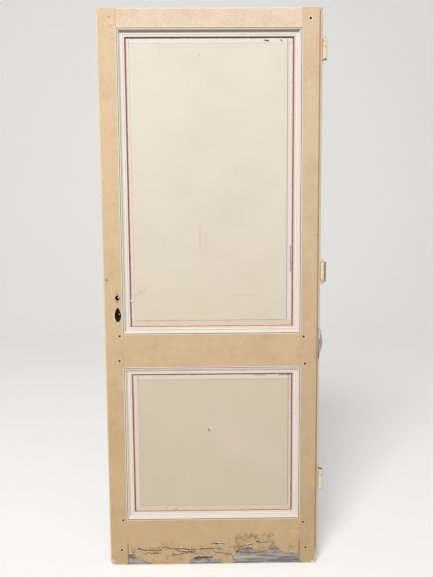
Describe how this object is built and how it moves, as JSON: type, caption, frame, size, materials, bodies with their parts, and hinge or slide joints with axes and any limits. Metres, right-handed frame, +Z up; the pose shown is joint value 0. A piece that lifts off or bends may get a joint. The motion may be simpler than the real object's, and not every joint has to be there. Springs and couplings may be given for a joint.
{
  "type": "panelled door leaf",
  "caption": "Old painted wooden door leaf with raised panels in stuck mouldings, lift-off hinge halves, a loose butt hinge, a mortise lock and a worn, flaking foot.",
  "frame": {"origin": "on the hinge axis, at the mouth of the lower hinge's socket", "axes": "+Z up along the hinge axis, +Y through the leaf from its front to its back, +X away from the leaf on its hinge side"},
  "size_m": [0.8254, 0.0515, 2.057],
  "materials": {
    "painted_wood": "old cream paint, worn and flaking",
    "bare_wood": "bare",
    "painted_hinge": "brush-painted steel",
    "bare_hinge": "dull and dirty",
    "lock_steel": "dull, oxidised",
    "worn_brass": "dull",
    "spring_steel": "satin"
  },
  "bodies": {
    "leaf": {"lock_stile": "painted_wood", "hinge_stile": "painted_wood", "top_rail": "painted_wood", "lock_rail": "painted_wood", "bottom_rail": "painted_wood", "upper_panel": "painted_wood", "lower_panel": "painted_wood", "joint_pegs": "painted_wood", "tenon_wedges": "bare_wood", "lock_case": "lock_steel", "lock_cap": "lock_steel", "cap_screws": "lock_steel", "lock_forend": "lock_steel", "forend_screws": "lock_steel", "latch_spring": "spring_steel", "bolt_spring": "spring_steel", "top_hinge_leaf": "painted_hinge", "top_hinge_finial": "painted_hinge", "bottom_hinge_leaf": "painted_hinge", "bottom_hinge_finial": "painted_hinge", "middle_hinge_leaf": "painted_hinge", "middle_hinge_pin": "painted_hinge", "middle_hinge_finial": "painted_hinge", "hinge_screws": "painted_hinge"},
    "frame_leaf": {"middle_hinge_frame_leaf": "bare_hinge"},
    "follower": {"follower": "lock_steel"},
    "latch": {"latch_bolt": "worn_brass"},
    "dead_bolt": {"dead_bolt": "worn_brass"}
  },
  "joints": [
    {"name": "frame_leaf_swing", "type": "hinge", "parent": "leaf", "child": "frame_leaf", "pos_m": [0, 0, 0.8245], "axis": [0, 0, -1], "range_deg": [-33, 235]},
    {"name": "follower_turn", "type": "hinge", "parent": "leaf", "child": "follower", "pos_m": [-0.7545, 0.0245, 0.734], "axis": [0, -1, 0], "range_deg": [0, 30]},
    {"name": "latch_slide", "type": "slide", "parent": "leaf", "child": "latch", "axis": [-1, 0, 0], "range_m": [0, 0.01074]},
    {"name": "dead_bolt_slide", "type": "slide", "parent": "leaf", "child": "dead_bolt", "axis": [-1, 0, 0], "range_m": [0, 0.014], "deforming": ["bolt_spring"]}
  ],
  "couplings": [
    {"joint": "follower_turn", "follows": "latch_slide", "rad_per_m": 48.738}
  ]
}
